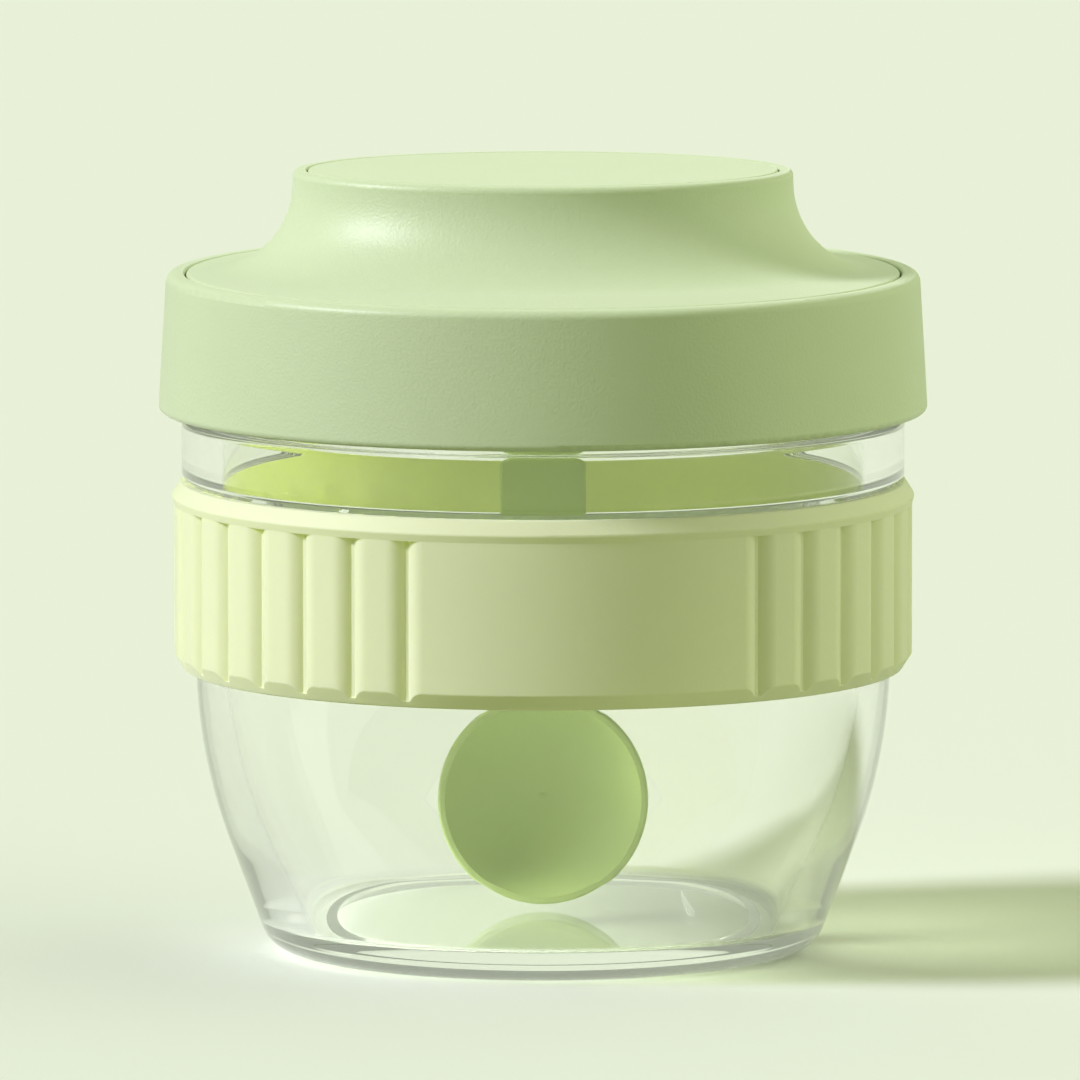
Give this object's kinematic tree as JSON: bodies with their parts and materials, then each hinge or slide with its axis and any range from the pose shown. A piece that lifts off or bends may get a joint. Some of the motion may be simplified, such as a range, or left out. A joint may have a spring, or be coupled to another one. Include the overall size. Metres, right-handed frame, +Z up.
{
  "type": "condiment jar with spoon lid",
  "caption": "Clear round jar with a ribbed silicone grip band, a screw collar and a lift-out lid whose oval knob carries a round spoon that hangs into the jar.",
  "frame": {"origin": "centre of the jar's foot ring, on the surface that it stands on", "axes": "+Z up along the jar's axis, +X along the knob's length, -Y to the front, where the spoon's hollow faces"},
  "size_m": [0.1, 0.1, 0.102],
  "materials": {
    "clear_jar": "clear polished glass",
    "grip_silicone": "matt silicone",
    "lid_plastic": "fine-textured satin moulding",
    "spoon_plastic": "satin moulding",
    "seal_silicone": "translucent matt silicone"
  },
  "bodies": {
    "jar_body": {"jar": "clear_jar", "grip_band": "grip_silicone"},
    "gasket": {"rim_gasket": "seal_silicone"},
    "collar": {"lid_collar": "lid_plastic"},
    "spoon_lid": {"lid_insert": "lid_plastic", "knob_cap": "lid_plastic", "lid_plug": "lid_plastic", "plug_seal": "seal_silicone", "spoon": "spoon_plastic"}
  },
  "joints": [
    {"name": "collar_lift", "type": "slide", "parent": "jar_body", "child": "gasket", "axis": [0, 0, 1], "range_m": [0, 0.0151]},
    {"name": "collar_turn", "type": "hinge", "parent": "gasket", "child": "collar", "pos_m": [0, 0, 0.08], "axis": [0, 0, 1], "range_deg": [0, 450]},
    {"name": "lid_lift", "type": "slide", "parent": "collar", "child": "spoon_lid", "axis": [0, 0, 1], "range_m": [0, 0.1]}
  ],
  "couplings": [
    {"joint": "collar_lift", "follows": "collar_turn", "m_per_rad": 0.0019099}
  ]
}
